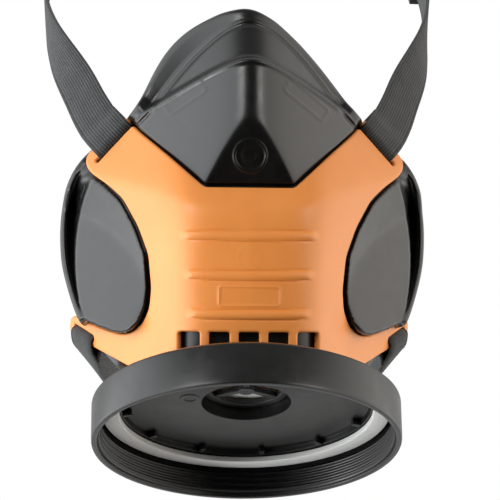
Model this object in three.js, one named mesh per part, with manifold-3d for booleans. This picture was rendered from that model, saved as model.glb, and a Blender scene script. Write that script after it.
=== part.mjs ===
// Half-mask respirator with one large filter holder, an outer yoke and a two-strap harness.
// Millimetres. x runs to the wearer's left as seen from the front, y from front to back, z up.
// The origin is the middle of the opening that seals on the face. h is a height forward: h = -y.
import * as THREE from "three";
import { mergeVertices } from "three/addons/utils/BufferGeometryUtils.js";
import Module from "manifold-3d";

const wasm = await Module();
wasm.setup();

// Driving dimensions
const GAP = 0.35; // clearance between neighbouring pieces
const SHELL_WALL = 2.1;
const BODY_INSET = 3.0; // facepiece surface below the yoke's outer surface
const RUBBER_WALL = 2.4;
const FRONT_DEPTH = 69.5; // yoke's front face ahead of the face opening
const CORNER_X = 21.5; // where the front face turns into the cheek slopes
const CORNER_SOFT = 6;
const CHEEK_SLOPE = 1.82; // depth lost per millimetre outwards at SLOPE_Z, less above it
const SLOPE_Z = -14;
const FLANGE_DROP = 7; // rolled sealing flange, from bead to outer edge

const HOLDER_R = 49;
const HOLDER_INNER_R = 46;
const HOLDER_DEPTH = 14;
const HOLDER_TILT = THREE.MathUtils.degToRad(154); // turns local +z into the opening's direction
const HOLDER_BASE = new THREE.Vector3(0, -52, -62.6);
const WELL_R = 39.5;
const WELL_FLOOR = 0;
const LEDGE = 2;
const NECK_R = 16;
const NECK_BORE = 14.1;
const NECK_TOP = -15;
const GUSSETS = 12;
const INHALE_DEPTH = -4.2; // outer face of the inhalation seat, along the holder's axis

const STRAP_WIDTH = 15;
const STRAP_PLY = 1.2;
const BAR_CLEARANCE = 0.5;
const UPPER_REACH = 11; // from a lug's bar to where its strap's two plies are sewn together
const LOWER_REACH = 5.4;
const VENTS = [-18.7, -9.35, 0, 9.35, 18.7];
const VENT_HALF = 3.7;
const VENT_TOP = -39.6;
const VENT_HEIGHT = 12;
const RIBS = [[-9.3, 21.6], [-21.6, 20.4], [-33.8, 19.4]]; // height and half length of each rib
const EXHALE_Z = -18;
const EXHALE_FLOOR = 58; // flat seat of the exhalation valve, ahead of the face opening
const EXHALE_R = 15;
const EXHALE_PORT_R = 12.2;

const rubber = new THREE.MeshStandardMaterial({ color: 0x3a3a38, roughness: 0.55 });
const orange = new THREE.MeshStandardMaterial({ color: 0xe08a45, roughness: 0.5 });
const greyPlastic = new THREE.MeshStandardMaterial({ color: 0x4a4b4a, roughness: 0.5 });
const blackPlastic = new THREE.MeshStandardMaterial({ color: 0x1d1d1d, roughness: 0.5 });
const paleRubber = new THREE.MeshStandardMaterial({ color: 0xc8c8c4, roughness: 0.7 });
const webbing = new THREE.MeshStandardMaterial({ color: 0x3c3e3f, roughness: 0.9 });

// Soft versions of max(v, 0), min and max, and a smooth step
const softPlus = (v, r) => (v + Math.hypot(v, r)) / 2;
const softMin = (a, b, r) => (a + b - Math.hypot(a - b, r)) / 2;
const softMax = (a, b, r) => (a + b + Math.hypot(a - b, r)) / 2;
const smooth = (a, b, v) => THREE.MathUtils.smoothstep(v, a, b);

// Height of the yoke's outer surface over the face opening
function yokeHeight(x, z) {
  const out = softPlus(Math.abs(x) - CORNER_X, CORNER_SOFT);
  const up = z - SLOPE_Z;
  const cheek = FRONT_DEPTH - (CHEEK_SLOPE - 0.0145 * up - 0.0075 * softPlus(up, 8)) * out;
  const brow = 68.9 - 0.85 * z - 1.05 * out;
  const chin = 50 + 2.05 * (z + 57);
  return softMin(softMin(cheek, brow, 3), chin, 4);
}

// How much a height changes for one millimetre along the surface's normal
function stretch(height, x, z, most = 3) {
  const e = 0.2;
  const dx = (height(x + e, z) - height(x - e, z)) / (2 * e);
  const dz = (height(x, z + e) - height(x, z - e)) / (2 * e);
  return Math.min(Math.hypot(1, dx, dz), most);
}

// Nose hood with its ledge and the flat facet under the nose
function hoodHeight(x, z) {
  const panel = 81.8 - 1.2 * Math.hypot(x, 8) - 0.153 * z;
  const facet = 58.6 + 0.37 * z;
  const above = z - (46 - 0.6 * (Math.hypot(x, 8) - 8));
  const fade = 1 - smooth(28, 38, Math.abs(x));
  const ledge = fade * (4.6 * smooth(-0.5, 1.5, above) + 0.6 * Math.max(above, 0));
  return softMin(panel, facet, 1.5) - ledge;
}

// Flat cheek face: 1 inside its outline, 0 outside
function cheekPad(x, z) {
  const u = (Math.abs(x) - 46.5) / 15.2;
  const v = (z + 17) / 25;
  return 1 - smooth(0.93, 1.08, Math.hypot(u, v));
}

function facepieceHeight(x, z) {
  const inset = BODY_INSET - (BODY_INSET - GAP) * cheekPad(x, z) * 0.85;
  const body = yokeHeight(x, z) - inset * stretch(yokeHeight, x, z);
  const face = softMax(body, hoodHeight(x, z), 1);
  const rise = 3 * Math.max(Math.abs(x) - 18.5, 0) + 3 * Math.max(Math.abs(z - EXHALE_Z) - 17, 0);
  return Math.min(face, EXHALE_FLOOR + 0.3 + rise);
}

// A closed geometry from vertices and faces
function closed(points, faces) {
  const geometry = new THREE.BufferGeometry();
  geometry.setAttribute("position", new THREE.Float32BufferAttribute(points.flat(), 3));
  geometry.setIndex(faces.flat());
  return geometry;
}

// Manifold solids, to join and cut
function solid(geometry, matrix) {
  const g = geometry.clone();
  g.deleteAttribute("normal");
  g.deleteAttribute("uv");
  if (matrix) g.applyMatrix4(matrix);
  const merged = mergeVertices(g, 1e-3);
  const triVerts = new Uint32Array(merged.index.array);
  const vertProperties = new Float32Array(merged.attributes.position.array);
  if (matrix && matrix.determinant() < 0) {
    for (let i = 0; i < triVerts.length; i += 3) {
      [triVerts[i + 1], triVerts[i + 2]] = [triVerts[i + 2], triVerts[i + 1]];
    }
  }
  return new wasm.Manifold(new wasm.Mesh({ numProp: 3, vertProperties, triVerts }));
}

function toGeometry(manifold) {
  const mesh = manifold.getMesh();
  const position = new Float32Array(mesh.numVert * 3);
  for (let i = 0; i < mesh.numVert; i++) {
    position.set(mesh.vertProperties.subarray(i * mesh.numProp, i * mesh.numProp + 3), i * 3);
  }
  const geometry = new THREE.BufferGeometry();
  geometry.setAttribute("position", new THREE.BufferAttribute(position, 3));
  geometry.setIndex(new THREE.BufferAttribute(mesh.triVerts, 1));
  return geometry;
}

const place = (x, y, z) => new THREE.Matrix4().makeTranslation(x, y, z);
const mirrorX = new THREE.Matrix4().makeScale(-1, 1, 1);
const holderTurn = new THREE.Matrix4().makeRotationX(HOLDER_TILT);
const holderPlace = place(...HOLDER_BASE.toArray()).multiply(holderTurn);
const forward = new THREE.Matrix4().makeRotationX(Math.PI / 2); // local +z into -y

// A round piece about local z, from (radius, height) points of its closed profile
function turned(profile, segments) {
  const points = profile.map(([r, t]) => new THREE.Vector2(r, t));
  if (profile[0][0] > 0) points.push(points[0].clone());
  const geometry = new THREE.LatheGeometry(points, segments);
  return geometry.rotateX(Math.PI / 2);
}

// The same, with its faces turned out whichever way the profile runs
function turnedSolid(profile, segments, matrix) {
  const build = (list) => solid(turned(list, segments), matrix);
  const made = build(profile);
  return made.volume() > 0 ? made : build([...profile].reverse());
}

function prism(outline, from, to) {
  const shape = new THREE.Shape(outline.map(([x, z]) => new THREE.Vector2(x, z)));
  const geometry = new THREE.ExtrudeGeometry(shape, { depth: to - from, bevelEnabled: false });
  return solid(geometry, forward.clone().multiply(place(0, 0, from)));
}

// A slab that follows the yoke's outer surface, between two depths below it along its normal
function yokeSlab(top, bottom) {
  const columns = 26;
  const rows = 19;
  const half = 61;
  const low = -64;
  const high = 34;
  const points = [];
  const at = (i, j, inner) => inner * (columns + 1) * (rows + 1) + j * (columns + 1) + i;
  for (const inner of [0, 1]) {
    for (let j = 0; j <= rows; j++) {
      for (let i = 0; i <= columns; i++) {
        const x = -half + (2 * half * i) / columns;
        const z = low + ((high - low) * j) / rows;
        const drop = (inner ? bottom : top) * stretch(yokeHeight, x, z);
        points.push([x, drop - yokeHeight(x, z), z]);
      }
    }
  }
  const faces = [];
  const quad = (a, b, c, d) => faces.push([a, b, c], [a, c, d]);
  for (let j = 0; j < rows; j++) {
    for (let i = 0; i < columns; i++) {
      quad(at(i, j, 0), at(i + 1, j, 0), at(i + 1, j + 1, 0), at(i, j + 1, 0));
      quad(at(i, j, 1), at(i, j + 1, 1), at(i + 1, j + 1, 1), at(i + 1, j, 1));
    }
  }
  for (let i = 0; i < columns; i++) {
    quad(at(i, 0, 1), at(i + 1, 0, 1), at(i + 1, 0, 0), at(i, 0, 0));
    quad(at(i, rows, 0), at(i + 1, rows, 0), at(i + 1, rows, 1), at(i, rows, 1));
  }
  for (let j = 0; j < rows; j++) {
    quad(at(0, j, 0), at(0, j + 1, 0), at(0, j + 1, 1), at(0, j, 1));
    quad(at(columns, j, 1), at(columns, j + 1, 1), at(columns, j + 1, 0), at(columns, j, 0));
  }
  return solid(closed(points, faces));
}

// Right half of the yoke's outline, from the top centre out, round the window and down to the chin
const YOKE_HALF = [
  [0, 5.8], [14.3, 5.8], [36.2, 25.1], [38.6, 28.6], [41, 29], [52.3, 16.5], [52.2, 13.4], [50.5, 11],
  [46, 7.6], [40.3, 2.2], [35.3, -6.7], [31.9, -15.9], [30.9, -26.7], [31.5, -33.2], [33.5, -38],
  [36.9, -41.4], [40.6, -42.2], [46, -40.8], [54.2, -37.7], [57, -37.2], [58, -38.4], [58, -42.4],
  [57.4, -43.6], [51.7, -46], [37.2, -52.3], [20, -60], [0, -62],
];

// The whole outline, moved outwards by a margin
function yokeOutline(margin) {
  const right = YOKE_HALF.slice(1, -1);
  const left = right.map(([x, z]) => [-x, z]).reverse();
  const loop = [...right, YOKE_HALF.at(-1), ...left, YOKE_HALF[0]];
  if (!margin) return loop;
  return loop.map(([x, z], i) => {
    const [ax, az] = loop.at(i - 1);
    const [bx, bz] = loop[(i + 1) % loop.length];
    const before = new THREE.Vector2(x - ax, z - az).normalize();
    const after = new THREE.Vector2(bx - x, bz - z).normalize();
    const mean = before.add(after).normalize();
    return [x - mean.y * margin, z + mean.x * margin];
  });
}

// Frame of a strap lug: origin on the yoke's surface, u along the slot, v towards the bar, n outwards
function lugFrame(x, z, slotX, slotZ) {
  const on = (a, b) => new THREE.Vector3(a, -yokeHeight(a, b), b);
  const origin = on(x, z);
  const u = on(x + slotX, z + slotZ).sub(on(x - slotX, z - slotZ)).normalize();
  const across = on(x + slotZ, z - slotX).sub(on(x - slotZ, z + slotX)).normalize();
  const n = new THREE.Vector3().crossVectors(u, across).normalize();
  if (n.x < 0) n.negate();
  const v = new THREE.Vector3().crossVectors(n, u).normalize();
  return { origin, u, v, n };
}

const basis = (f) => new THREE.Matrix4().makeBasis(f.v, f.n, f.u.clone()).setPosition(f.origin);

const upperLug = lugFrame(43.2, 20.5, -4.2, 4.6);
if (upperLug.v.z < 0) {
  upperLug.v.negate();
  upperLug.u.negate();
}
upperLug.slotHalf = 1.2;
upperLug.barWidth = 5.2;
upperLug.slotLength = 17;

const lowerLug = lugFrame(52.7, -42.2, 3.1, 1.7);
if (lowerLug.v.z > 0) {
  lowerLug.v.negate();
  lowerLug.u.negate();
}
lowerLug.slotHalf = 1.1;
lowerLug.barWidth = 2.1;
lowerLug.slotLength = 15.8;

const barCentre = (lug) => lug.slotHalf + lug.barWidth / 2;

function slotCut(lug) {
  const box = new THREE.BoxGeometry(2 * lug.slotHalf, 14, lug.slotLength);
  return solid(box, basis(lug));
}

function ventCut(x) {
  const shape = new THREE.Shape();
  const corner = 0.9;
  shape.moveTo(-VENT_HALF, -VENT_HEIGHT);
  shape.lineTo(VENT_HALF, -VENT_HEIGHT);
  shape.lineTo(VENT_HALF, -corner);
  shape.absarc(VENT_HALF - corner, -corner, corner, 0, Math.PI / 2);
  shape.absarc(corner - VENT_HALF, -corner, corner, Math.PI / 2, Math.PI);
  const geometry = new THREE.ExtrudeGeometry(shape, { depth: 16, bevelEnabled: false, curveSegments: 3 });
  return solid(geometry, place(x, 0, VENT_TOP).multiply(forward).multiply(place(0, 0, 58.5)));
}

function ribBead(z, half) {
  const capsule = new THREE.CapsuleGeometry(1.25, 2 * half, 3, 8);
  const flat = new THREE.Matrix4().makeRotationZ(Math.PI / 2);
  return solid(capsule, place(0, 0.45 - yokeHeight(0, z), z).multiply(flat));
}

function frontShell() {
  let shell = yokeSlab(0, SHELL_WALL).intersect(prism(yokeOutline(0), -40, 90));
  for (const lug of [upperLug, lowerLug]) {
    const cut = slotCut(lug);
    const loopRoom = lugLoop(lug, lug === upperLug ? UPPER_REACH : LOWER_REACH, 0.25).loop;
    const both = cut.add(loopRoom);
    shell = shell.subtract(both).subtract(both.transform(mirrorX.toArray()));
  }
  for (const x of VENTS) shell = shell.subtract(ventCut(x));
  for (const [z, half] of RIBS) shell = shell.add(ribBead(z, half));
  const neck = new THREE.CylinderGeometry(NECK_R + 0.8, NECK_R + 0.8, 40, 40).rotateX(Math.PI / 2);
  shell = shell.subtract(solid(neck, holderPlace));
  return toGeometry(shell);
}

// Half outline of the facepiece at its bead, from the nose down to the chin
const BEAD_HALF = [
  [0, 60.2], [7.3, 57.5], [12, 53.9], [16.7, 49.8], [22.2, 43.9], [27.4, 37.6], [32.1, 31.5], [37.5, 26],
  [44.5, 21], [51.6, 15], [56.2, 7.5],
  [58.2, -2], [58.6, -10], [58, -19], [55.5, -28],
  [52.4, -36.5], [46, -46.5], [34, -56], [18, -61.4], [0, -63.2],
];

const CENTRE_Z = -5;

// Points on the outline at equal turns round the facepiece's middle
function beadOutline(count) {
  const left = BEAD_HALF.slice(1, -1).map(([x, z]) => [-x, z]).reverse();
  const loop = [...BEAD_HALF, ...left].map(([x, z]) => new THREE.Vector3(x, z, 0));
  const curve = new THREE.CatmullRomCurve3(loop, true, "centripetal");
  const polar = (p) => [Math.atan2(p.y - CENTRE_Z, p.x), Math.hypot(p.x, p.y - CENTRE_Z)];
  const dense = curve.getPoints(720).map(polar);
  const radii = [];
  for (let k = 0; k < count; k++) {
    const angle = Math.PI / 2 - (2 * Math.PI * k) / count;
    const away = (a) => Math.abs(Math.atan2(Math.sin(a - angle), Math.cos(a - angle)));
    const nearest = dense.reduce((best, p) => (away(p[0]) < away(best[0]) ? p : best));
    radii.push([angle, nearest[1]]);
  }
  return radii;
}

// The soft lip stands further out beside the nose on the -x side
const lipBend = (angle) => 5.5 * Math.exp(-(((angle - 1.95) / 0.3) ** 2));

// Rubber body: outer surface to the bead, flange rolled out and in, and the inner surface back
function facepieceBody() {
  const turns = 44;
  const rings = [0.14, 0.28, 0.4, 0.5, 0.6, 0.7, 0.8, 0.9, 1];
  const outline = beadOutline(turns);
  const rows = [];
  const ring = (f) => rows.push(outline.map(([angle, radius]) => f(angle, radius)));
  const onSurface = (angle, r, drop) => {
    const x = r * Math.cos(angle);
    const z = CENTRE_Z + r * Math.sin(angle);
    const fall = drop * stretch(facepieceHeight, x, z, 2.5);
    return [x, fall - facepieceHeight(x, z), z];
  };
  const hung = (angle, radius, grow, back) => {
    const rim = onSurface(angle, radius, 0);
    const r = radius + grow;
    return [r * Math.cos(angle), rim[1] + back, CENTRE_Z + r * Math.sin(angle)];
  };
  for (const t of rings) ring((a, r) => onSurface(a, r * t, 0));
  ring((a, r) => hung(a, r, 1.9 + lipBend(a), 3));
  ring((a, r) => hung(a, r, 1.6 + lipBend(a), FLANGE_DROP));
  ring((a, r) => hung(a, r, -8.5, FLANGE_DROP + 5));
  ring((a, r) => hung(a, r, -8.8, FLANGE_DROP + 3.6));
  ring((a, r) => hung(a, r, -1.2, FLANGE_DROP - 1.2));
  ring((a, r) => hung(a, r, -2.6, 4));
  for (const t of rings.slice(0, -1).reverse()) ring((a, r) => onSurface(a, r * t, RUBBER_WALL));

  const points = rows.flat();
  const faces = [];
  for (let j = 0; j + 1 < rows.length; j++) {
    for (let i = 0; i < turns; i++) {
      const k = (i + 1) % turns;
      const [a, b, c, d] = [j * turns + i, j * turns + k, (j + 1) * turns + k, (j + 1) * turns + i];
      faces.push([a, b, c], [a, c, d]);
    }
  }
  const middle = (drop) => points.push(onSurface(0, 0, drop)) - 1;
  const front = middle(0);
  const back = middle(RUBBER_WALL);
  const last = (rows.length - 1) * turns;
  for (let i = 0; i < turns; i++) {
    const k = (i + 1) % turns;
    faces.push([front, k, i], [back, last + i, last + k]);
  }
  const made = solid(closed(points, faces));
  if (made.volume() > 0) return made;
  return solid(closed(points, faces.map(([a, b, c]) => [a, c, b])));
}

function facepiece() {
  const neck = new THREE.CylinderGeometry(NECK_R + GAP, NECK_R + GAP, 40, 32).rotateX(Math.PI / 2);
  const port = new THREE.CylinderGeometry(EXHALE_PORT_R, EXHALE_PORT_R, 20, 32);
  const floor = new THREE.CylinderGeometry(EXHALE_R + 0.5, EXHALE_R + 0.5, 20, 32);
  const seat = yokeSlab(-30, SHELL_WALL + GAP).intersect(prism(yokeOutline(0.5), -40, 120));
  const room = lugLoop(upperLug, UPPER_REACH, 0.3).loop.add(
    solid(new THREE.BoxGeometry(14, 6, STRAP_WIDTH + 1), basis(upperLug).multiply(place(14, 0, 0))),
  );
  const clampRoom = turnedSolid([[0, -15.2], [18.1, -15.2], [18.1, -11.9], [0, -11.9]], 32, holderPlace);
  const body = facepieceBody()
    .subtract(seat)
    .subtract(room)
    .subtract(room.transform(mirrorX.toArray()))
    .subtract(clampRoom)
    .subtract(solid(neck, holderPlace.clone().multiply(place(0, 0, -10))))
    .subtract(solid(port, place(0, -EXHALE_FLOOR, EXHALE_Z)))
    .subtract(solid(floor, place(0, -EXHALE_FLOOR - 10, EXHALE_Z)));
  return toGeometry(body);
}

// Filter holder, in its own frame: z from the base out of the opening
function filterHolder() {
  const profile = [
    [NECK_BORE, NECK_TOP], [NECK_BORE, WELL_FLOOR], [WELL_R, WELL_FLOOR], [WELL_R, LEDGE],
    [HOLDER_INNER_R, LEDGE], [HOLDER_INNER_R, 6.2], [HOLDER_INNER_R + 0.9, 6.9], [HOLDER_INNER_R, 7.6],
    [HOLDER_INNER_R, 8.6], [HOLDER_INNER_R + 0.9, 9.3], [HOLDER_INNER_R, 10], [HOLDER_INNER_R, 11],
    [HOLDER_INNER_R + 0.9, 11.7], [HOLDER_INNER_R, 12.4], [HOLDER_INNER_R + 0.4, HOLDER_DEPTH],
    [HOLDER_R - 0.8, HOLDER_DEPTH], [HOLDER_R, HOLDER_DEPTH - 0.8], [HOLDER_R, 1.2], [HOLDER_R - 4, -1.3],
    [21, -1.3], [20, -5.2], [NECK_R, -5.2], [NECK_R, NECK_TOP],
  ];
  let holder = turnedSolid(profile, 44);
  for (let k = 0; k < GUSSETS; k++) {
    const angle = ((k + 1 / 3) * 2 * Math.PI) / GUSSETS;
    const turn = new THREE.Matrix4().makeRotationZ(angle);
    const rib = new THREE.BoxGeometry(3, 1.4, 2.2);
    holder = holder.add(solid(rib, turn.multiply(place(WELL_R - 1.2, 0, WELL_FLOOR + 0.8))));
  }
  return toGeometry(holder);
}

const filterGasket = () => {
  const profile = [[40.2, LEDGE + GAP], [40.2, LEDGE + 2.2], [45.6, LEDGE + 2.2], [45.6, LEDGE + GAP]];
  return toGeometry(turnedSolid(profile, 44));
};

const lockRing = () => {
  const profile = [[NECK_R + GAP, -14.6], [NECK_R + GAP, -12.2], [17.7, -12.2], [17.7, -14.6]];
  return toGeometry(turnedSolid(profile, 40));
};

// Valve seat: a ring with three arms to a hub, whose headed peg holds the disc. z = 0 is its outer face.
function valveSeat(outer, bore, side) {
  let seat = turnedSolid([[bore, 0], [bore, -2], [outer, -2], [outer, 0]], 26);
  const peg = [[0, -4.9], [1.5, -4.9], [1.5, -4.3], [0.8, -4.3], [0.8, -2], [2.4, -2], [2.4, 0], [0, 0]];
  seat = seat.add(turnedSolid(peg, 12));
  for (let k = 0; k < 3; k++) {
    const turn = new THREE.Matrix4().makeRotationZ(Math.PI / 2 + side + (k * 2 * Math.PI) / 3);
    const arm = new THREE.BoxGeometry(bore - 1, 2, 1.6);
    seat = seat.add(solid(arm, turn.multiply(place((bore + 1) / 2 + 0.5, 0, -1))));
  }
  return seat;
}

const valveDisc = (radius) => turnedSolid([[1.15, -2.9], [1.15, -2.3], [radius, -2.3], [radius, -2.9]], 26);

// The exhalation seat grips the wall of its port with a collar and a lip
function exhalationSeat() {
  const bore = EXHALE_PORT_R - GAP - 1.6;
  const out = EXHALE_PORT_R - GAP;
  const collar = [[bore, 4.6], [bore, -2], [EXHALE_R, -2], [EXHALE_R, 0], [out, 0], [out, 4.6]];
  return valveSeat(EXHALE_R, bore, 0).add(turnedSolid(collar, 26));
}

// A flat band through knots, each with its place, its direction and the direction across the band
function band(knots, width, thickness, stepsPerSpan) {
  const rows = [];
  knots.slice(0, -1).forEach((a, s) => {
    const b = knots[s + 1];
    const reach = a.at.distanceTo(b.at) / 3;
    const curve = new THREE.CubicBezierCurve3(
      a.at,
      a.at.clone().addScaledVector(a.along, reach),
      b.at.clone().addScaledVector(b.along, -reach),
      b.at,
    );
    const from = s ? 1 : 0;
    for (let i = from; i <= stepsPerSpan; i++) {
      const t = i / stepsPerSpan;
      const tangent = curve.getTangent(t);
      const across = a.across.clone().lerp(b.across, smooth(0, 1, t));
      across.addScaledVector(tangent, -across.dot(tangent)).normalize();
      const out = new THREE.Vector3().crossVectors(tangent, across);
      const centre = curve.getPoint(t);
      const corner = (w, d) => centre.clone().addScaledVector(across, w).addScaledVector(out, d).toArray();
      const [w, d] = [width / 2, thickness / 2];
      rows.push([corner(-w, -d), corner(w, -d), corner(w, d), corner(-w, d)]);
    }
  });
  const faces = [];
  for (let j = 0; j + 1 < rows.length; j++) {
    for (let i = 0; i < 4; i++) {
      const k = (i + 1) % 4;
      faces.push([4 * j + i, 4 * j + k, 4 * j + 4 + k], [4 * j + i, 4 * j + 4 + k, 4 * j + 4 + i]);
    }
  }
  const end = 4 * (rows.length - 1);
  faces.push([0, 3, 2], [0, 2, 1], [end, end + 1, end + 2], [end, end + 2, end + 3]);
  return solid(closed(rows.flat(), faces));
}

// Sewn loop round a bar: a band of one ply in the plane of v and n, as wide as the strap along u.
// With room, it is the space the loop takes with that much clearance.
function strapLoop(frame, bar, barHalf, barThick, reach, room = 0) {
  const inner = barHalf + BAR_CLEARANCE - room;
  const side = barThick / 2 + BAR_CLEARANCE - room;
  const past = barHalf + BAR_CLEARANCE + 1;
  const outer = inner + STRAP_PLY + 2 * room;
  const face = side + STRAP_PLY + 2 * room;
  const shape = new THREE.Shape();
  shape.moveTo(reach, STRAP_PLY + room);
  shape.lineTo(past, face);
  shape.lineTo(-inner + 0.3, face);
  shape.quadraticCurveTo(-outer, face, -outer, 0);
  shape.quadraticCurveTo(-outer, -face, -inner + 0.3, -face);
  shape.lineTo(past, -face);
  shape.lineTo(reach, -STRAP_PLY - room);
  const hole = new THREE.Path();
  hole.moveTo(-inner, side);
  hole.lineTo(past, side);
  hole.lineTo(reach - 2.2, 0);
  hole.lineTo(past, -side);
  hole.lineTo(-inner, -side);
  shape.holes.push(hole);
  const width = STRAP_WIDTH + 2 * room;
  const options = { depth: width, bevelEnabled: false, curveSegments: 3 };
  const geometry = new THREE.ExtrudeGeometry(shape, options);
  const centred = basis({ ...frame, origin: bar }).multiply(place(0, 0, -width / 2));
  return solid(geometry, centred);
}

function lugLoop(lug, reach, room = 0) {
  const bar = lug.origin.clone().addScaledVector(lug.v, barCentre(lug));
  bar.addScaledVector(lug.n, -SHELL_WALL / 2);
  const loop = strapLoop(lug, bar, lug.barWidth / 2, SHELL_WALL, reach, room);
  const joint = bar.clone().addScaledVector(lug.v, reach - 0.6);
  return { bar, loop, knot: { at: joint, along: lug.v.clone(), across: lug.u.clone() } };
}

const vec = (x, y, z) => new THREE.Vector3(x, y, z);
const unit = (list) => vec(...list).normalize();
const knot = (at, along, across) => ({ at: vec(...at), along: unit(along), across: unit(across) });

// Head cradle: an arc of plate at the back of the head, tilted back
const CRADLE_CENTRE = vec(0, 140, 122);
const CRADLE_OUT = vec(0, 0.85, 0.527).normalize();
const CRADLE_UP = vec(0, -0.527, 0.85).normalize();
const CRADLE_R = 85;
const CRADLE_SPREAD = 0.44;
const CRADLE_PLATE = 2.4;
const CRADLE_BAR = 4;

function cradleEnd() {
  const bar = (CRADLE_R - CRADLE_PLATE / 2) * CRADLE_SPREAD - CRADLE_BAR / 2;
  const angle = bar / (CRADLE_R - CRADLE_PLATE / 2);
  const at = CRADLE_CENTRE.clone()
    .addScaledVector(CRADLE_OUT, (CRADLE_R - CRADLE_PLATE / 2) * Math.cos(angle) - CRADLE_R)
    .add(vec((CRADLE_R - CRADLE_PLATE / 2) * Math.sin(angle), 0, 0));
  const v = vec(Math.cos(angle), 0, 0).addScaledVector(CRADLE_OUT, -Math.sin(angle));
  const n = vec(Math.sin(angle), 0, 0).addScaledVector(CRADLE_OUT, Math.cos(angle));
  return { origin: at, v, n, u: new THREE.Vector3().crossVectors(v, n), angle };
}

function headCradle() {
  const shape = new THREE.Shape();
  shape.absarc(0, 0, CRADLE_R, Math.PI / 2 - CRADLE_SPREAD, Math.PI / 2 + CRADLE_SPREAD);
  shape.absarc(0, 0, CRADLE_R - CRADLE_PLATE, Math.PI / 2 + CRADLE_SPREAD, Math.PI / 2 - CRADLE_SPREAD, true);
  const options = { depth: 26, bevelEnabled: false, curveSegments: 12 };
  const arc = new THREE.ExtrudeGeometry(shape, options).translate(0, -CRADLE_R, -13);
  const tilt = new THREE.Matrix4().makeBasis(vec(1, 0, 0), CRADLE_OUT, CRADLE_UP).setPosition(CRADLE_CENTRE);
  let cradle = solid(arc, tilt);
  const end = cradleEnd();
  const slot = new THREE.BoxGeometry(4.4, 12, 17);
  const slotPlace = basis(end).multiply(place(-CRADLE_BAR / 2 - 2.2, 0, 0));
  const cut = solid(slot, slotPlace);
  cradle = cradle.subtract(cut).subtract(cut.transform(mirrorX.toArray()));
  for (const height of [-6.5, 0, 6.5]) {
    const hole = new THREE.BoxGeometry(34, 30, 3.4).translate(0, 0, height);
    cradle = cradle.subtract(solid(hole, tilt));
  }
  return toGeometry(cradle);
}

const SLIDER_FROM = vec(69.3, 80, 81.3);
const SLIDER_TO = vec(67.5, 110, 98.5);
const SLIDER_DIR = SLIDER_TO.clone().sub(SLIDER_FROM).normalize();
const SLIDER_ACROSS = vec(0.05, -0.5, 0.87).normalize();
SLIDER_ACROSS.addScaledVector(SLIDER_DIR, -SLIDER_ACROSS.dot(SLIDER_DIR)).normalize();

function upperStrap() {
  const { loop, knot: start } = lugLoop(upperLug, UPPER_REACH);
  const end = cradleEnd();
  const cradleLoop = strapLoop(end, end.origin, CRADLE_BAR / 2, CRADLE_PLATE, 9);
  const last = end.origin.clone().addScaledVector(end.v, 8.4);
  const knots = [
    start,
    knot([50.4, -8, 31.6], [0.37, 0.78, 0.5], [-0.77, -0.02, 0.63]),
    knot([56.1, 8, 42], [0.32, 0.81, 0.49], [-0.62, -0.21, 0.75]),
    knot([60.5, 20, 49.3], [0.27, 0.84, 0.47], [-0.43, -0.33, 0.84]),
    knot([65.2, 39, 58.8], [0.17, 0.88, 0.43], [-0.14, -0.41, 0.9]),
    knot([68.2, 61, 69.6], [0.07, 0.88, 0.47], [0.04, -0.47, 0.88]),
    { at: SLIDER_FROM, along: SLIDER_DIR, across: SLIDER_ACROSS },
    { at: SLIDER_TO, along: SLIDER_DIR, across: SLIDER_ACROSS },
    { at: last, along: end.v.clone().negate(), across: end.u.clone().negate() },
  ];
  for (const [one, next] of [[start, knots[1]], [knots.at(-1), knots.at(-2)]]) {
    if (one.across.dot(next.across) < 0) one.across.negate();
  }
  return band(knots, STRAP_WIDTH, 2 * STRAP_PLY, 3).add(loop).add(cradleLoop);
}

// Slider: a flat frame that the strap runs straight through
function strapSlider() {
  const middle = SLIDER_FROM.clone().lerp(SLIDER_TO, 0.5);
  const out = new THREE.Vector3().crossVectors(SLIDER_DIR, SLIDER_ACROSS);
  const frame = new THREE.Matrix4().makeBasis(SLIDER_DIR, SLIDER_ACROSS, out).setPosition(middle);
  const block = solid(new THREE.BoxGeometry(12, 20, 5.4), frame);
  const way = solid(new THREE.BoxGeometry(20, STRAP_WIDTH + 1, 2 * STRAP_PLY + 0.8), frame);
  return block.subtract(way);
}

// Neck clip: bar centres, with each lower strap folded round its own half's bar
const CLIP_Y = 114;
const CLIP_Z = -54;
const CLIP_BAR = 4;
const CLIP_PLATE = 2.4;
const clipEnd = { origin: vec(15.5, CLIP_Y, CLIP_Z), v: vec(1, 0, 0), n: vec(0, 1, 0), u: vec(0, 0, 1) };

function lowerStrap() {
  const { loop, knot: start } = lugLoop(lowerLug, LOWER_REACH);
  const knots = [
    start,
    knot([48.5, 24, -54], [-0.22, 0.95, -0.1], [0.45, 0.15, 0.85]),
    knot([44, 56, -54], [-0.16, 1, 0], [0, 0, 1]),
    knot([23.2, CLIP_Y, CLIP_Z], [-1, 0, 0], [0, 0, 1]),
  ];
  const clipLoop = strapLoop(clipEnd, clipEnd.origin, CLIP_BAR / 2, CLIP_PLATE, 8.4);
  if (start.across.z < 0) start.across.negate();
  return band(knots, STRAP_WIDTH, 2 * STRAP_PLY, 6).add(loop).add(clipLoop);
}

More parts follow.
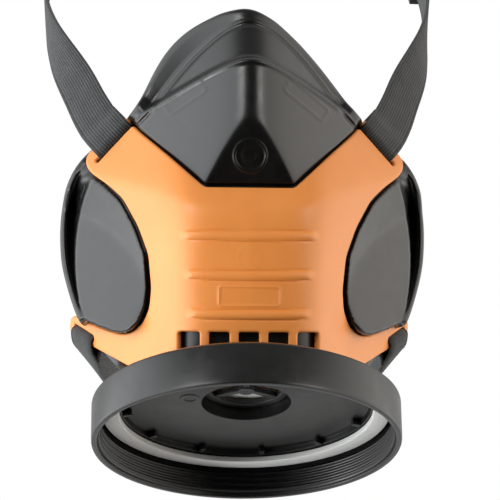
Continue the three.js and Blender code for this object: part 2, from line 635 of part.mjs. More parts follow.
// Each half is a plate with a slot for its strap; the hook's turned tip drops into the eye's window
function clipHalf(hook) {
  const front = hook ? 2 : 0.6;
  const plate = new THREE.Shape();
  plate.moveTo(front, -10.5);
  plate.lineTo(17.5, -10.5);
  plate.lineTo(17.5, 10.5);
  plate.lineTo(front, 10.5);
  plate.closePath();
  const slab = new THREE.ExtrudeGeometry(plate, { depth: CLIP_PLATE, bevelEnabled: false });
  let half = solid(slab, place(0, 0, -CLIP_PLATE / 2));
  half = half.subtract(solid(new THREE.BoxGeometry(4.4, 17, 10), place(11.3, 0, 0)));
  if (!hook) return half.subtract(solid(new THREE.BoxGeometry(4.8, 10, 10), place(4.4, 0, 0)));
  const riser = solid(new THREE.BoxGeometry(3.4, 7, 4.8), place(4.2, 0, 1.6));
  const tongue = solid(new THREE.BoxGeometry(10, 7, 1.6), place(-0.8, 0, 3.2));
  const tip = solid(new THREE.BoxGeometry(1.6, 7, 2.6), place(-5, 0, 2));
  return half.add(riser).add(tongue).add(tip);
}

const clipPlace = place(0, CLIP_Y, CLIP_Z).multiply(new THREE.Matrix4().makeRotationX(-Math.PI / 2));

const group = new THREE.Group();
group.name = "half_mask";

function addMesh(name, geometry, material, parent = group) {
  const mesh = new THREE.Mesh(geometry, material);
  mesh.name = name;
  parent.add(mesh);
  return mesh;
}

const mirrored = (manifold) => manifold.transform(mirrorX.toArray());

addMesh("facepiece", facepiece(), rubber);
addMesh("front_shell", frontShell(), orange);

const holderGroup = new THREE.Group();
holderGroup.position.copy(HOLDER_BASE);
holderGroup.rotation.x = HOLDER_TILT;
group.add(holderGroup);
addMesh("filter_holder", filterHolder(), greyPlastic, holderGroup);
addMesh("filter_gasket", filterGasket(), paleRubber, holderGroup);
addMesh("holder_lock_ring", lockRing(), blackPlastic, holderGroup);
const inhale = new THREE.Group();
inhale.position.z = INHALE_DEPTH;
holderGroup.add(inhale);
addMesh("inhalation_valve_seat", toGeometry(valveSeat(NECK_BORE - GAP, 11, 0)), blackPlastic, inhale);
addMesh("inhalation_valve_disc", toGeometry(valveDisc(12.6)), paleRubber, inhale);

// The exhalation valve opens forwards, so its local -z faces the front
const exhale = new THREE.Group();
exhale.position.set(0, -EXHALE_FLOOR - GAP + 0.05, EXHALE_Z);
exhale.rotation.x = -Math.PI / 2;
group.add(exhale);
addMesh("exhalation_valve_seat", toGeometry(exhalationSeat()), blackPlastic, exhale);
addMesh("exhalation_valve_disc", toGeometry(valveDisc(EXHALE_R - 2.4)), paleRubber, exhale);

const rightUpper = upperStrap();
const rightSlider = strapSlider();
const rightLower = lowerStrap();
addMesh("upper_strap_right", toGeometry(rightUpper), webbing);
addMesh("upper_strap_left", toGeometry(mirrored(rightUpper)), webbing);
addMesh("strap_slider_right", toGeometry(rightSlider), blackPlastic);
addMesh("strap_slider_left", toGeometry(mirrored(rightSlider)), blackPlastic);
addMesh("head_cradle", headCradle(), blackPlastic);
addMesh("lower_strap_right", toGeometry(rightLower), webbing);
addMesh("lower_strap_left", toGeometry(mirrored(rightLower)), webbing);
addMesh("neck_hook", toGeometry(clipHalf(true).transform(clipPlace.toArray())), blackPlastic);
addMesh("neck_eye", toGeometry(mirrored(clipHalf(false).transform(clipPlace.toArray()))), blackPlastic);

export default group;
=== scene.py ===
import math

import bmesh
import bpy
import numpy as np
from mathutils import Matrix, Vector


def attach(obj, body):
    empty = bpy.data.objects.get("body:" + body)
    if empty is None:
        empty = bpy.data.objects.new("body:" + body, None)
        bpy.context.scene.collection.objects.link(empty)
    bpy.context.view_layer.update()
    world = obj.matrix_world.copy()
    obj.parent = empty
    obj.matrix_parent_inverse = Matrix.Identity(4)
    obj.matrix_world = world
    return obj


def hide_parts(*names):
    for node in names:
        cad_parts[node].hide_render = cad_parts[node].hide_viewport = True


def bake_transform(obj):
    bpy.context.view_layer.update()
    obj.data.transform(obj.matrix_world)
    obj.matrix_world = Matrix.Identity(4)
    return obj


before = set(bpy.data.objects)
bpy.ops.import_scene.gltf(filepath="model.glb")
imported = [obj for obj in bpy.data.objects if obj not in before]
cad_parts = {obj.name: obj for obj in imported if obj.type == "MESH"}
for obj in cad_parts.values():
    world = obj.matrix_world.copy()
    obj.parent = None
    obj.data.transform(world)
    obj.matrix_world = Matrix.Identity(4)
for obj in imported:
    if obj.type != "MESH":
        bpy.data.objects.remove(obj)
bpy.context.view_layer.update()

# Lengths below are in millimetres, in the CAD model's frame: x right, y back, z up. MM turns them
# into Blender's metres. A height is a distance forward of the face opening, so height = -y.
MM = 0.001
GAP = 0.35
SHELL_WALL = 2.1
RUBBER_WALL = 2.4
BODY_INSET = 3.0

# The yoke: a flat front that turns over at CORNER_X into sloping cheeks.
FRONT_DEPTH = 69.5
CORNER_X = 21.5
CORNER_SOFT = 6.0
CHEEK_SLOPE = 1.82
SLOPE_Z = -14.0

# The holder's axis passes through HOLDER_BASE, tilted about x.
HOLDER_BASE = np.array([0, -52, -62.6])
HOLDER_TILT = math.radians(154)
NECK_R = 16.0
NECK_BORE = 14.1
INHALE_DEPTH = -4.2

# The exhalation valve faces forward, on a flat land of the facepiece.
EXHALE_FLOOR = 58.0
EXHALE_Z = -18.0
EXHALE_R = 15.0
EXHALE_PORT_R = 12.2
EXHALE_LAND_HALF = (18.5, 17)

STRAP_WIDTH = 15.0
STRAP_PLY = 1.2
RIB_PITCH = 0.95
PICK_PITCH = 0.8
SELVEDGE_FROM, SELVEDGE_TO = 6.1, 6.5

# Step for slopes taken by differences.
STEP = 0.05


# ---------------------------------------------------------------- materials

def new_material(name):
    material = bpy.data.materials.new(name)
    material.use_nodes = True
    tree = material.node_tree
    return material, tree, tree.nodes["Principled BSDF"]


def link(tree, a, b):
    tree.links.new(a, b)


def noise_node(tree, scale, detail, rough=0.6):
    """Noise in object space, with scale in cells per metre."""
    coords = tree.nodes.new("ShaderNodeTexCoord")
    node = tree.nodes.new("ShaderNodeTexNoise")
    node.inputs["Scale"].default_value = scale
    node.inputs["Detail"].default_value = detail
    node.inputs["Roughness"].default_value = rough
    link(tree, coords.outputs["Object"], node.inputs["Vector"])
    return node.outputs["Fac"]


def ramp(tree, source, stops):
    """Colour along stops of (place, colour or grey level)."""
    node = tree.nodes.new("ShaderNodeValToRGB")
    band = node.color_ramp
    while len(band.elements) < len(stops):
        band.elements.new(0.5)
    for element, (place, colour) in zip(band.elements, stops):
        element.position = place
        value = colour if isinstance(colour, tuple) else (colour, colour, colour)
        element.color = (*value, 1)
    link(tree, source, node.inputs["Fac"])
    return node.outputs["Color"]


def multiply(tree, a, b, factor):
    node = tree.nodes.new("ShaderNodeMix")
    node.data_type = "RGBA"
    node.blend_type = "MULTIPLY"
    node.inputs["Factor"].default_value = factor
    link(tree, a, node.inputs["A"])
    link(tree, b, node.inputs["B"])
    return node.outputs["Result"]


def bumped(tree, shader, layers):
    """Stacks bump layers, each a (source, strength, distance in metres)."""
    normal = None
    for source, strength, distance in layers:
        bump = tree.nodes.new("ShaderNodeBump")
        bump.inputs["Strength"].default_value = strength
        bump.inputs["Distance"].default_value = distance
        link(tree, source, bump.inputs["Height"])
        if normal:
            link(tree, normal, bump.inputs["Normal"])
        normal = bump.outputs["Normal"]
    link(tree, normal, shader.inputs["Normal"])


def moulded(name, dark, light, rough, grain, subsurface=0.0):
    """Moulded plastic or rubber: soft colour patches, uneven gloss and a fine grain."""
    patches = 55.0
    material, tree, shader = new_material(name)
    colour = ramp(tree, noise_node(tree, patches, 5.0), [(0.3, dark), (0.7, light)])
    link(tree, colour, shader.inputs["Base Color"])
    gloss = noise_node(tree, patches * 4, 6.0, 0.7)
    link(tree, ramp(tree, gloss, [(0.3, rough[0]), (0.7, rough[1])]), shader.inputs["Roughness"])
    shader.inputs["Subsurface Weight"].default_value = subsurface
    shader.inputs["Subsurface Radius"].default_value = (0.9, 0.35, 0.12)
    shader.inputs["Subsurface Scale"].default_value = 0.002
    bumped(tree, shader, [(noise_node(tree, 2600.0, 2.0), grain, 0.0001)])
    return material


def webbing_material():
    """Knitted elastic: ribs along the strap, fine picks across and two darker selvedge lines."""
    material, tree, shader = new_material("webbing")
    across = tree.nodes.new("ShaderNodeAttribute")
    across.attribute_name = "across"
    along = tree.nodes.new("ShaderNodeAttribute")
    along.attribute_name = "along"

    def wave(source, pitch):
        """A sine of the source between 0 and 1, one turn to each pitch."""
        scaled = tree.nodes.new("ShaderNodeMath")
        scaled.operation = "MULTIPLY"
        scaled.inputs[1].default_value = 2 * math.pi / pitch
        link(tree, source, scaled.inputs[0])
        sine = tree.nodes.new("ShaderNodeMath")
        sine.operation = "SINE"
        link(tree, scaled.outputs[0], sine.inputs[0])
        half = tree.nodes.new("ShaderNodeMath")
        half.operation = "MULTIPLY_ADD"
        half.inputs[1].default_value = 0.5
        half.inputs[2].default_value = 0.5
        link(tree, sine.outputs[0], half.inputs[0])
        return half.outputs[0]

    ribs = wave(across.outputs["Fac"], RIB_PITCH)
    picks = wave(along.outputs["Fac"], PICK_PITCH)
    weave = tree.nodes.new("ShaderNodeMath")
    weave.operation = "MULTIPLY"
    link(tree, ribs, weave.inputs[0])
    link(tree, picks, weave.inputs[1])
    edge = tree.nodes.new("ShaderNodeMath")
    edge.operation = "ABSOLUTE"
    link(tree, across.outputs["Fac"], edge.inputs[0])
    selvedge = tree.nodes.new("ShaderNodeMapRange")
    selvedge.inputs["From Min"].default_value = SELVEDGE_FROM
    selvedge.inputs["From Max"].default_value = SELVEDGE_TO
    selvedge.inputs["To Min"].default_value = 1.0
    selvedge.inputs["To Max"].default_value = 0.72
    link(tree, edge.outputs[0], selvedge.inputs["Value"])
    yarn = [(0.3, (0.034, 0.036, 0.037)), (0.7, (0.055, 0.057, 0.058))]
    base = ramp(tree, noise_node(tree, 120.0, 5.0), yarn)
    ribbed = multiply(tree, base, ramp(tree, ribs, [(0.1, 0.55), (0.8, 1.0)]), 0.8)
    picked = multiply(tree, ribbed, ramp(tree, weave.outputs[0], [(0.0, 0.8), (0.6, 1.0)]), 0.8)
    edged = multiply(tree, picked, selvedge.outputs["Result"], 1.0)
    link(tree, edged, shader.inputs["Base Color"])
    shader.inputs["Roughness"].default_value = 0.85
    shader.inputs["Sheen Weight"].default_value = 0.1
    shader.inputs["Sheen Roughness"].default_value = 0.5
    bumped(tree, shader, [(ribs, 0.5, 0.0003), (weave.outputs[0], 0.5, 0.0002)])
    return material


orange = moulded("orange_polypropylene", dark=(0.80, 0.27, 0.055), light=(0.84, 0.30, 0.066),
                 rough=(0.38, 0.48), grain=0.10, subsurface=0.12)
rubber = moulded("face_rubber", dark=(0.003, 0.003, 0.003), light=(0.006, 0.006, 0.0057),
                 rough=(0.27, 0.38), grain=0.16)
grey = moulded("holder_grey", dark=(0.004, 0.004, 0.004), light=(0.008, 0.008, 0.0077),
               rough=(0.28, 0.40), grain=0.14)
black = moulded("plastic_black", dark=(0.012, 0.012, 0.012), light=(0.02, 0.02, 0.02),
                rough=(0.38, 0.5), grain=0.12)
pale = moulded("gasket_pale", dark=(0.74, 0.74, 0.72), light=(0.82, 0.82, 0.80),
               rough=(0.6, 0.75), grain=0.15, subsurface=0.05)
milky = moulded("valve_rubber", dark=(0.82, 0.82, 0.80), light=(0.88, 0.88, 0.86),
                rough=(0.25, 0.4), grain=0.08, subsurface=0.2)
webbing = webbing_material()


# ---------------------------------------------------------------- soft shapes and distances

def soft_plus(v, r):
    """max(v, 0), rounded over about r; soft_min and soft_max round the same way."""
    return (v + np.hypot(v, r)) / 2


def soft_min(a, b, r):
    return (a + b - np.hypot(a - b, r)) / 2


def soft_max(a, b, r):
    return (a + b + np.hypot(a - b, r)) / 2


def smooth(a, b, v):
    """A smooth step from 0 at a to 1 at b."""
    t = np.clip((v - a) / (b - a), 0, 1)
    return t * t * (3 - 2 * t)


def rounded(points, reach, steps=5, closed=True):
    """Replaces each corner by a curve that starts up to reach before it."""
    points = [np.array(p, float) for p in points]
    reaches = reach if isinstance(reach, (list, tuple)) else [reach] * len(points)
    out = []
    for i, p in enumerate(points):
        if not closed and i in (0, len(points) - 1):
            out.append(p)
            continue
        a, b = points[i - 1], points[(i + 1) % len(points)]
        back, ahead = a - p, b - p
        la, lb = np.linalg.norm(back), np.linalg.norm(ahead)
        start = p + back * min(reaches[i] / la, 0.48)
        stop = p + ahead * min(reaches[i] / lb, 0.48)
        for k in range(steps + 1):
            t = k / steps
            out.append((1 - t) ** 2 * start + 2 * t * (1 - t) * p + t * t * stop)
    return np.array(out)


def polygon_distance(x, z, polygon):
    """Signed distance to a closed polygon, negative inside."""
    shape = x.shape
    px, pz = x.ravel(), z.ravel()
    best = np.full(px.shape, 1e9)
    inside = np.zeros(px.shape, bool)
    following = np.roll(polygon, -1, axis=0)
    for (ax, az), (bx, bz) in zip(polygon, following):
        ex, ez = bx - ax, bz - az
        length = ex * ex + ez * ez
        if length < 1e-12:
            continue
        t = np.clip(((px - ax) * ex + (pz - az) * ez) / length, 0, 1)
        best = np.minimum(best, np.hypot(px - ax - t * ex, pz - az - t * ez))
        if az != bz:
            crosses = (az > pz) != (bz > pz)
            inside ^= crosses & (px < ex * (pz - az) / ez + ax)
    return np.where(inside, -best, best).reshape(shape)


def box_distance(u, v, half_u, half_v, r):
    """Signed distance to a box with corners of radius r, negative inside."""
    du = np.abs(u) - half_u + r
    dv = np.abs(v) - half_v + r
    return np.hypot(np.maximum(du, 0), np.maximum(dv, 0)) + np.minimum(np.maximum(du, dv), 0) - r


# ---------------------------------------------------------------- the mask's surfaces

def yoke_height(x, z):
    """Front, cheeks, brow and chin of the yoke, rounded into each other."""
    out = soft_plus(np.abs(x) - CORNER_X, CORNER_SOFT)
    up = z - SLOPE_Z
    cheek = FRONT_DEPTH - (CHEEK_SLOPE - 0.0145 * up - 0.0075 * soft_plus(up, 8)) * out
    brow = 68.9 - 0.85 * z - 1.05 * out
    chin = 50 + 2.05 * (z + 57)
    return soft_min(soft_min(cheek, brow, 3), chin, 4)


def slopes(height, x, z):
    dx = (height(x + STEP, z) - height(x - STEP, z)) / (2 * STEP)
    dz = (height(x, z + STEP) - height(x, z - STEP)) / (2 * STEP)
    return dx, dz


def stretch(height, x, z, most=3.0):
    """What a thickness grows to when it is measured straight forward."""
    dx, dz = slopes(height, x, z)
    return np.minimum(np.sqrt(1 + dx * dx + dz * dz), most)


def outward(height, x, z):
    """Unit normals of a height surface, as an array of (x, y, z)."""
    dx, dz = slopes(height, x, z)
    n = np.stack([-dx, -np.ones_like(dx), -dz], axis=-1)
    return n / np.linalg.norm(n, axis=-1, keepdims=True)


def on_yoke(x, z):
    return np.array([x, -float(yoke_height(np.float64(x), np.float64(z))), z])


def unit(v):
    return v / np.linalg.norm(v)


def lug_frame(x, z, slot_x, slot_z, up, slot_half, bar_width, slot_length):
    """Frame of a strap lug: u along the slot, v towards the bar, n out of the surface."""
    u = unit(on_yoke(x + slot_x, z + slot_z) - on_yoke(x - slot_x, z - slot_z))
    across = unit(on_yoke(x + slot_z, z - slot_x) - on_yoke(x - slot_z, z + slot_x))
    n = unit(np.cross(u, across))
    if n[0] < 0:
        n = -n
    v = unit(np.cross(n, u))
    if (v[2] > 0) != up:
        u, v = -u, -v
    origin = on_yoke(x, z)
    bar = origin + v * (slot_half + bar_width / 2) - n * SHELL_WALL / 2
    return dict(origin=origin, u=u, v=v, n=n, bar=bar, slot_half=slot_half, bar_width=bar_width,
                slot_length=slot_length)


UPPER_LUG = lug_frame(43.2, 20.5, -4.2, 4.6, True, 1.2, 5.2, 17.0)
LOWER_LUG = lug_frame(52.7, -42.2, 3.1, 1.7, False, 1.1, 2.1, 15.8)

YOKE_HALF = [
    (14.3, 5.8), (36.2, 25.1), (38.6, 28.6), (41, 29), (52.3, 16.5), (52.2, 13.4), (50.5, 11),
    (46, 7.6), (40.3, 2.2), (35.3, -6.7), (31.9, -15.9), (30.9, -26.7), (31.5, -33.2), (33.5, -38),
    (36.9, -41.4), (40.6, -42.2), (46, -40.8), (54.2, -37.7), (57, -37.2), (58, -38.4), (58, -42.4),
    (57.4, -43.6), (51.7, -46), (37.2, -52.3), (20, -60),
]
YOKE_CORNERS = [1.2, 4] + [2] * (len(YOKE_HALF) - 2)
VENTS = [-18.7, -9.35, 0, 9.35, 18.7]
VENT_Z = -45.6
VENT_HALF = (3.5, 6.2)
# Each rib's height on the front and its half length.
RIBS = [(-9.3, 22.4), (-21.6, 21.2), (-33.8, 20.2)]
PLATE_Z = -28.4
PLATE_HALF = (9.5, 3.0)


def yoke_outline():
    left = [(-x, z) for x, z in reversed(YOKE_HALF)]
    loop = YOKE_HALF + [(0, -62)] + left + [(0, 5.8)]
    reach = YOKE_CORNERS + [8] + YOKE_CORNERS[::-1] + [4]
    return rounded(loop, reach)


OUTLINE = yoke_outline()


def lug_coordinates(lug, x, z, height):
    """Places near a lug along its v and u, taking both sides of the mask as one."""
    p = np.stack([np.abs(x), -height, z], axis=-1) - lug["origin"]
    return p @ lug["v"], p @ lug["u"]


def yoke_distance(x, z):
    """Signed distance to the yoke's edge: outline, strap slots, vents and neck hole."""
    d = polygon_distance(x, z, OUTLINE)
    height = yoke_height(x, z)
    for lug in (UPPER_LUG, LOWER_LUG):
        v, u = lug_coordinates(lug, x, z, height)
        d = np.maximum(d, -box_distance(v, u, lug["slot_half"], lug["slot_length"] / 2, 0.9))
    for centre in VENTS:
        d = np.maximum(d, -box_distance(x - centre, z - VENT_Z, *VENT_HALF, 0.9))
    p = np.stack([x, -height, z], axis=-1) - HOLDER_BASE
    axis = np.array([0, -math.sin(HOLDER_TILT), math.cos(HOLDER_TILT)])
    along = p @ axis
    away = np.sqrt(np.maximum((p ** 2).sum(-1) - along ** 2, 0))
    return np.maximum(d, NECK_R + 0.8 - away)


def yoke_detail(x, z):
    """Ribs, the blank name frame and a small moulding ring, raised on the front."""
    raised = np.zeros_like(x)
    for middle, half in RIBS:
        bow = middle - 0.5 * (1 - (x / half) ** 2)
        off = np.abs(z - bow)
        ends = 1 - smooth(half - 4, half, np.abs(x))
        bead = np.sqrt(np.clip(1 - (off / 1.4) ** 2, 0, 1))
        groove = np.exp(-((off - 1.65) / 0.28) ** 2)
        raised = raised + ends * (0.85 * bead - 0.16 * groove)
    plate = box_distance(x, z - PLATE_Z, *PLATE_HALF, 1.0)
    raised = raised + 0.28 * np.exp(-(plate / 0.32) ** 2)
    ring = np.hypot(x, z + 16.2) - 3.6
    return raised + 0.1 * np.exp(-(ring / 0.25) ** 2)


def hood_height(x, z):
    """Nose hood: two side panels, the facet under the nose, and a ledge that steps back above."""
    panel = 81.8 - 1.2 * np.hypot(x, 8) - 0.153 * z
    facet = 58.6 + 0.37 * z
    above = z - (46 - 0.6 * (np.hypot(x, 8) - 8))
    fade = 1 - smooth(28, 38, np.abs(x))
    lip = 0.8 * np.exp(-((above + 0.9) / 0.6) ** 2)
    ledge = fade * (4.6 * smooth(-0.3, 1.3, above) + 0.6 * np.maximum(above, 0) - lip)
    return soft_min(panel, facet, 1.0) - ledge


def frame_mark(x, z, cx, cz, turn, half_u, half_v):
    """A thin raised line round a turned rectangle, 1 at its top."""
    c, s = math.cos(turn), math.sin(turn)
    u = (x - cx) * c + (z - cz) * s
    v = -(x - cx) * s + (z - cz) * c
    return np.exp(-(box_distance(u, v, half_u, half_v, 0.8) / 0.28) ** 2)


def hood_detail(x, z):
    """Blank frames on both hood panels and plain rings on the facet under the nose."""
    marks = 0.3 * frame_mark(x, z, -20.6, 34.2, math.radians(33), 6.6, 2.3)
    marks = marks + 0.3 * frame_mark(x, z, 18.4, 33.6, math.radians(-35), 8.0, 2.2)
    away = np.hypot(x, (z - 15.5) * 1.02)
    marks = marks + 0.45 * np.exp(-((away - 5.0) / 0.42) ** 2)
    return marks + 0.25 * np.exp(-((away - 2.2) / 0.4) ** 2)


def pad_distance(x, z):
    """1 on the edge of a cheek's flat face, less inside."""
    u = (np.abs(x) - 46.5) / 18.5
    v = (z + 17) / 27
    return np.hypot(u, v)


def pod_groove(x, z):
    """Deep groove between a cheek face's outer edge and the sealing flange."""
    p = np.hypot((np.abs(x) - 44.5) / 11.2, (z + 17) / 29.5)
    return 6.0 * smooth(0.96, 1.08, p) * smooth(46, 52, np.abs(x)) * (1 - smooth(4, 12, z))


def facepiece_height(x, z, detail=True):
    """The rubber's front: cheeks and hood, kept behind the yoke, its lugs and the valve's land."""
    pad = 1 - smooth(0.97, 1.08, pad_distance(x, z))
    inset = BODY_INSET - (BODY_INSET - GAP) * pad * 0.85
    body = yoke_height(x, z) - inset * stretch(yoke_height, x, z)
    face = soft_max(body, hood_height(x, z), 0.8)
    if detail:
        face = face + hood_detail(x, z) - pod_groove(x, z)
    land_x, land_z = EXHALE_LAND_HALF
    rise = 3 * np.maximum(np.abs(x) - land_x, 0) + 3 * np.maximum(np.abs(z - EXHALE_Z) - land_z, 0)
    face = np.minimum(face, EXHALE_FLOOR - 0.1 + rise)
    under = 1 - smooth(0.2, 1.1, polygon_distance(x, z, OUTLINE))
    room = yoke_height(x, z) - (SHELL_WALL + GAP) * stretch(yoke_height, x, z)
    face = face + under * (np.minimum(face, room) - face)
    v, u = lug_coordinates(UPPER_LUG, x, z, yoke_height(x, z))
    near = 1 - smooth(0, 1.5, box_distance(v - 4.5, u, 10, 8.2, 2))
    pocket = yoke_height(x, z) - 4.4 * stretch(yoke_height, x, z)
    return face + near * (np.minimum(face, pocket) - face)


# ---------------------------------------------------------------- building meshes

def mesh_object(name, points, faces, material, smooth_angle=None):
    """A mesh from points in millimetres."""
    mesh = bpy.data.meshes.new(name)
    mesh.from_pydata([tuple(p) for p in np.asarray(points) * MM], [], [tuple(f) for f in faces])
    mesh.update()
    mesh.polygons.foreach_set("use_smooth", [True] * len(mesh.polygons))
    if smooth_angle:
        mesh.set_sharp_from_angle(angle=math.radians(smooth_angle))
    mesh.materials.append(material)
    piece = bpy.data.objects.new(name, mesh)
    bpy.context.scene.collection.objects.link(piece)
    return piece


def stands_for(piece, node, body):
    """A piece rides on a body, in place of a CAD node."""
    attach(piece, body)
    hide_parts(node)
    return piece


def face_outwards(piece):
    """Turns a closed mesh's faces outwards."""
    bm = bmesh.new()
    bm.from_mesh(piece.data)
    bmesh.ops.recalc_face_normals(bm, faces=bm.faces)
    bm.to_mesh(piece.data)
    bm.free()
    return piece


def holder_matrix():
    return Matrix.Translation(Vector(HOLDER_BASE)) @ Matrix.Rotation(HOLDER_TILT, 4, "X")


def placed(points, matrix):
    m = np.array(matrix)
    return np.asarray(points) @ m[:3, :3].T + m[:3, 3]


def turned_mesh(profile, segments, matrix):
    """Points and faces of a closed profile of (radius, height) turned about local z."""
    count = len(profile)
    angles = [2 * math.pi * k / segments for k in range(segments)]
    points = [(r * math.cos(a), r * math.sin(a), t) for a in angles for r, t in profile]
    faces = []
    for k in range(segments):
        n = (k + 1) % segments
        for i in range(count):
            j = (i + 1) % count
            faces.append([k * count + i, n * count + i, n * count + j, k * count + j])
    return placed(points, matrix), faces


def block_mesh(size, matrix, bevel):
    """A box with bevelled edges."""
    bm = bmesh.new()
    bmesh.ops.create_cube(bm, size=1.0)
    bmesh.ops.scale(bm, vec=size, verts=bm.verts)
    bmesh.ops.bevel(bm, geom=list(bm.edges), offset=bevel, segments=2, profile=0.5, affect="EDGES")
    points = placed([v.co[:] for v in bm.verts], matrix)
    faces = [[v.index for v in f.verts] for f in bm.faces]
    bm.free()
    return points, faces


class Parts:
    """Collects closed parts into one mesh."""

    def __init__(self):
        self.points = []
        self.faces = []

    def add(self, made):
        points, faces = made
        start = len(self.points)
        self.points += [tuple(p) for p in points]
        self.faces += [[start + i for i in f] for f in faces]
        return self


# ---------------------------------------------------------------- front shell

SHELL_STEP = 0.45
SHELL_LOW, SHELL_HIGH = (-59.4, -63.25), (59.4, 30.25)
EDGE_R = 0.85


def clipped_grid(distance, limit, low, high, step):
    """Faces over the region where distance < limit, with the grid's points snapped to its edge."""
    nx = int(round((high[0] - low[0]) / step)) + 1
    nz = int(round((high[1] - low[1]) / step)) + 1
    across, up = np.linspace(low[0], high[0], nx), np.linspace(low[1], high[1], nz)
    x, z = np.meshgrid(across, up, indexing="ij")
    d = distance(x, z) - limit
    gx, gz = slopes(distance, x, z)
    steep = np.maximum(gx * gx + gz * gz, 0.2)
    near = np.abs(d) < 0.3 * step
    x = np.where(near, x - d * gx / steep, x)
    z = np.where(near, z - d * gz / steep, z)
    d = np.where(near, 0.0, d)
    points = {}
    order = []

    def corner(i, j):
        key = (i, j)
        if key not in points:
            points[key] = len(order)
            order.append((x[key], z[key]))
        return points[key]

    def crossing(a, b):
        key = (min(a, b), max(a, b))
        if key not in points:
            t = d[a] / (d[a] - d[b])
            points[key] = len(order)
            order.append((x[a] + t * (x[b] - x[a]), z[a] + t * (z[b] - z[a])))
        return points[key]

    faces = []
    keep = np.minimum.reduce([d[:-1, :-1], d[1:, :-1], d[1:, 1:], d[:-1, 1:]]) < 0
    for i, j in zip(*np.nonzero(keep)):
        ring = [(i, j), (i + 1, j), (i + 1, j + 1), (i, j + 1)]
        face = []
        for a, b in zip(ring, ring[1:] + ring[:1]):
            if d[a] <= 0:
                face.append(corner(*a))
            if d[a] * d[b] < 0:
                face.append(crossing(a, b))
        if len(face) > 2:
            faces.append(face)
    return np.array(order), faces


def border_edges(faces):
    """Edges with one face, in that face's direction."""
    seen = {}
    for face in faces:
        for a, b in zip(face, face[1:] + face[:1]):
            if (b, a) in seen:
                del seen[(b, a)]
            else:
                seen[(a, b)] = True
    return list(seen)


def front_shell():
    """The yoke: its outer and inner surfaces, joined by rounded edges."""
    flat, faces = clipped_grid(yoke_distance, -0.7 * EDGE_R, SHELL_LOW, SHELL_HIGH, SHELL_STEP)
    x, z = flat[:, 0], flat[:, 1]
    base = np.stack([x, -yoke_height(x, z), z], axis=-1)
    normal = outward(yoke_height, x, z)
    outer = base + normal * yoke_detail(x, z)[:, None]
    inner = base - normal * SHELL_WALL
    edges = border_edges(faces)
    ways = np.zeros_like(base)
    for a, b in edges:
        way = np.cross(unit(base[b] - base[a]), normal[a])
        ways[a] += way
        ways[b] += way
    rim = sorted({i for edge in edges for i in edge})
    ways[rim] /= np.linalg.norm(ways[rim], axis=1)[:, None]
    count = len(base)
    rows = [list(range(count))]
    points = [outer]
    turn = math.pi / 8
    turns = [(k * turn, False) for k in (1, 2, 3, 4)] + [(k * turn, True) for k in (4, 3, 2, 1)]
    total = count
    place = {i: k for k, i in enumerate(rim)}
    for angle, under in turns:
        out = EDGE_R * math.sin(angle)
        drop = EDGE_R * (1 - math.cos(angle))
        start = inner[rim] + normal[rim] * drop if under else outer[rim] - normal[rim] * drop
        points.append(start + ways[rim] * out)
        rows.append([total + place[i] if i in place else -1 for i in range(count)])
        total += len(rim)
    points.append(inner)
    rows.append([total + i for i in range(count)])
    all_faces = [list(f) for f in faces] + [[total + i for i in reversed(f)] for f in faces]
    for upper, lower in zip(rows, rows[1:]):
        for a, b in edges:
            all_faces.append([upper[b], upper[a], lower[a], lower[b]])
    piece = mesh_object("yoke", np.concatenate(points), all_faces, orange, 50)
    return stands_for(piece, "front_shell", "mask")


# ---------------------------------------------------------------- facepiece

# Half of the line where the rubber turns into the sealing flange, from the nose to the chin.
BEAD_HALF = [
    (0, 60.2), (7.3, 57.5), (12, 53.9), (16.7, 49.8), (22.2, 43.9), (27.4, 37.6), (32.1, 31.5),
    (37.5, 26), (44.5, 21), (51.6, 15), (56.2, 7.5), (58.2, -2), (58.6, -10), (58, -19),
    (55.5, -28), (52.4, -36.5), (46, -46.5), (34, -56), (18, -61.4), (0, -63.2),
]
# Section of the flange past that line: how far out and how far back.
FLANGE = [
    (0.3, 0.1), (1.9, 0.9), (2.3, 4.2), (1.6, 7), (-2, 9.8), (-8.6, 12), (-9.4, 11.6), (-8.8, 10.4),
    (-3.4, 7.6), (-1.2, 5.6), (-2.2, 4.2),
]
CENTRE_Z = -5.0
TURNS = 420
RINGS = 120


def bead_radii():
    """Distance of the bead from the facepiece's middle, at equal turns from straight up."""
    loop = BEAD_HALF + [(-x, z) for x, z in reversed(BEAD_HALF[1:-1])]
    curve = rounded(loop, 9, 8)
    angle = np.arctan2(curve[:, 0], curve[:, 1] - CENTRE_Z) % (2 * math.pi)
    radius = np.hypot(curve[:, 0], curve[:, 1] - CENTRE_Z)
    order = np.argsort(angle)
    wanted = np.arange(TURNS) * 2 * math.pi / TURNS
    return wanted, np.interp(wanted, angle[order], radius[order], period=2 * math.pi)


def plain_height(x, z):
    return facepiece_height(x, z, False)


